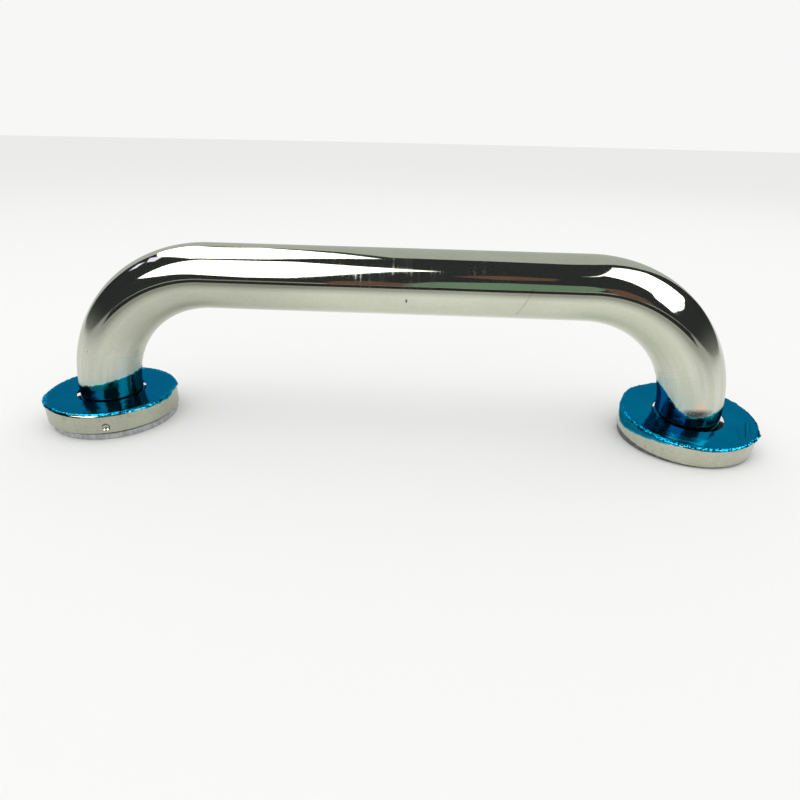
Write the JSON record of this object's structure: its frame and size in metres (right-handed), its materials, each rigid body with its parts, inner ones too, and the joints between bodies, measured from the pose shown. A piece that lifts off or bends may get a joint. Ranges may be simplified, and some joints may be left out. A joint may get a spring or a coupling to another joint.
{
  "type": "grab bar",
  "caption": "Short straight grab bar: a polished tube bent down at both ends into round wall flanges, each hidden by a loose sliding cover with protective film.",
  "frame": {"origin": "on the wall plane, midway between the two feet", "axes": "+X along the grip, towards the right foot; +Z away from the wall; +Y completes the right-handed set"},
  "size_m": [0.4564, 0.0813, 0.114],
  "materials": {
    "polished_tube": "mirror polished stainless steel, fine scratches",
    "polished_cover": "mirror polished stainless steel sheet",
    "flange_steel": "dull steel plate with a rough cut edge",
    "weld_steel": "dull weld",
    "blue_film": "thin transparent blue film over mirror steel"
  },
  "bodies": {
    "bar": {"bar_tube": "polished_tube", "left_mounting_flange": "flange_steel", "right_mounting_flange": "flange_steel", "left_weld_bead": "weld_steel", "right_weld_bead": "weld_steel", "left_tube_film": "blue_film", "right_tube_film": "blue_film"},
    "left_cover": {"left_cover": "polished_cover", "left_cover_film": "blue_film"},
    "right_cover": {"right_cover": "polished_cover", "right_cover_film": "blue_film"}
  },
  "joints": [
    {"name": "left_cover_slide", "type": "slide", "parent": "bar", "child": "left_cover", "axis": [0, 0, 1], "range_m": [-0.003, 0.0115]},
    {"name": "right_cover_slide", "type": "slide", "parent": "bar", "child": "right_cover", "axis": [0, 0, 1], "range_m": [-0.0009, 0.0077]}
  ]
}
